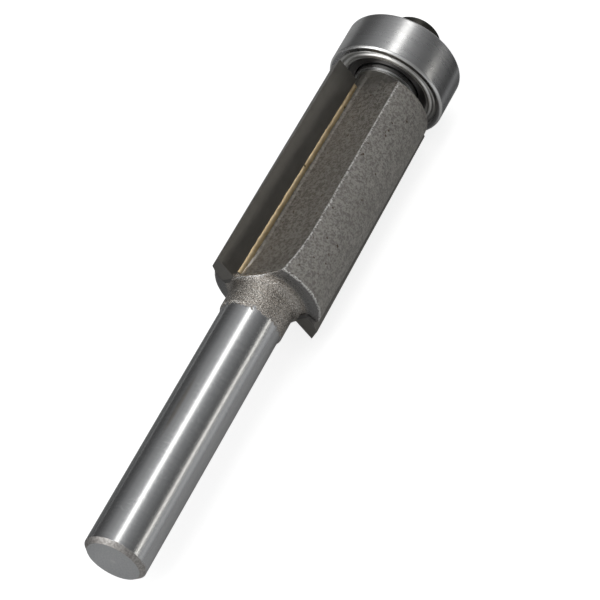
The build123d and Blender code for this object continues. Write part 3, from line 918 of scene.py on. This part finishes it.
def aimed(roll_degrees, lean_degrees, distance):
    """Place and turn for something that looks at the bit from a roll about its axis and a lean along it."""
    roll, lean = math.radians(roll_degrees), math.radians(lean_degrees)
    way = Vector((math.sin(roll) * math.cos(lean), math.sin(lean), math.cos(roll) * math.cos(lean)))
    side = Vector((math.cos(roll), 0.0, -math.sin(roll)))
    turn = Matrix((side, way.cross(side), way)).transposed().to_4x4()
    return Matrix.Translation(target + way * distance) @ turn


def lamp(name, roll, lean, distance, width, length, radiance, colour=(1.0, 1.0, 1.0)):
    """A soft lamp of a width and length in metres, as bright as its radiance says."""
    data = bpy.data.lights.new(name, "AREA")
    data.shape = "RECTANGLE"
    data.size, data.size_y = width, length
    data.energy = radiance * math.pi * width * length
    data.color = colour
    made = bpy.data.objects.new(name, data)
    made.matrix_world = aimed(roll, lean, distance)
    bpy.context.scene.collection.objects.link(made)
    print("lamp", name)


lamp("top_strip", 7.0, 28.0, 0.55, 0.115, 0.55, 2.7, (1.0, 0.995, 0.965))
lamp("right_strip", 86.0, 18.0, 0.6, 0.055, 0.36, 2.7, (1.0, 0.975, 0.90))
lamp("front_soft", -14.0, -36.0, 0.6, 0.34, 0.26, 2.0)
lamp("low_left_soft", -46.0, -52.0, 0.6, 0.30, 0.30, 2.3)

# %% [markdown]
# The photographer's paper was not evenly lit, and the steel shows it: a pale band at the shank's right, a
# dim one at its left, and a dark one beside the bearing. Cards that glow faintly and are seen only by
# reflections repeat this.

# %% Cards on the table
def shades(tree, place, stops):
    """Grey levels at places from 0 to 1, with soft steps between them."""
    node = tree.nodes.new("ShaderNodeValToRGB")
    tree.links.new(place, node.inputs[0])
    node.color_ramp.interpolation = "EASE"
    node.color_ramp.elements.remove(node.color_ramp.elements[1])
    for number, (position, level) in enumerate(stops):
        stop = node.color_ramp.elements[0] if number == 0 else node.color_ramp.elements.new(0.999)
        stop.position = position
        stop.color = (level * 0.98, level * 0.99, level, 1.0)
    return node.outputs[0]


def table_card(name, low_x, high_x, low_y, high_y, stops):
    """A card just over the table, in millimetres, with grey levels at places across it."""
    height = table_height + 0.1 * MM
    corners = [(low_x, low_y), (high_x, low_y), (high_x, high_y), (low_x, high_y)]
    mesh = bpy.data.meshes.new(name)
    mesh.from_pydata([(x * MM, y * MM, height) for x, y in corners], [], [(0, 1, 2, 3)])
    made = bpy.data.objects.new(name, mesh)
    made.visible_camera = False
    made.visible_shadow = False
    made.visible_diffuse = False
    bpy.context.scene.collection.objects.link(made)
    material = bpy.data.materials.new(name)
    material.use_nodes = True
    tree = material.node_tree
    coordinates = tree.nodes.new("ShaderNodeTexCoord").outputs["Object"]
    sideways = add(tree, "ShaderNodeSeparateXYZ", {0: coordinates}).outputs[0]
    across = calc(tree, "DIVIDE", calc(tree, "SUBTRACT", sideways, low_x * MM), (high_x - low_x) * MM)
    levels = shades(tree, across, [((x - low_x) / (high_x - low_x), level) for x, level in stops])
    glow = add(tree, "ShaderNodeEmission", {"Color": levels})
    tree.links.new(glow.outputs[0], tree.nodes["Material Output"].inputs["Surface"])
    mesh.materials.append(material)
    print("card", name)


table_card("pale_band", 12.0, 140.0, -15.0, 56.0,
           [(12.0, 0.31), (16.5, 0.48), (21.0, 0.68), (25.0, 0.68), (33.0, 0.50), (60.0, 0.48),
            (140.0, 0.40)])
table_card("left_band", -140.0, -7.0, -15.0, 56.0, [(-140.0, 0.10), (-40.0, 0.14), (-7.0, 0.20)])
table_card("dark_band", 5.5, 110.0, 62.0, 110.0,
           [(5.5, 0.10), (8.0, 0.14), (9.6, 0.42), (11.4, 0.06), (16.0, 0.09), (24.0, 0.20),
            (45.0, 0.24), (110.0, 0.28)])

# %% [markdown]
# The sky's shade changes only with the roll about the bit's axis. The camera sees it as white, like the
# table, so that the background is white from every side.

# %% Sky
sky_levels = [(-95, 0.04), (-74, 0.06), (-58, 0.14), (-32, 0.36), (-10, 0.58), (24, 0.50), (38, 0.28),
              (70, 0.12), (92, 0.34)]
world = bpy.data.worlds.new("pale_sky")
bpy.context.scene.world = world
world.use_nodes = True
tree = world.node_tree
generated = tree.nodes.new("ShaderNodeTexCoord").outputs["Generated"]
way = add(tree, "ShaderNodeSeparateXYZ", {0: generated}).outputs
sky_roll = calc(tree, "ARCTAN2", way["X"], way["Z"])
sky_place = calc(tree, "MULTIPLY_ADD", sky_roll, 0.5 / math.pi, 0.5)
sky_colour = shades(tree, sky_place, [(0.5 + roll / 360.0, level) for roll, level in sky_levels])
sky_colour = blend(tree, backdrop_white(tree, 1.0, mirror_white), sky_colour, (1.0, 1.0, 1.0))
tree.links.new(sky_colour, tree.nodes["Background"].inputs["Color"])
print("sky levels:", len(sky_levels))
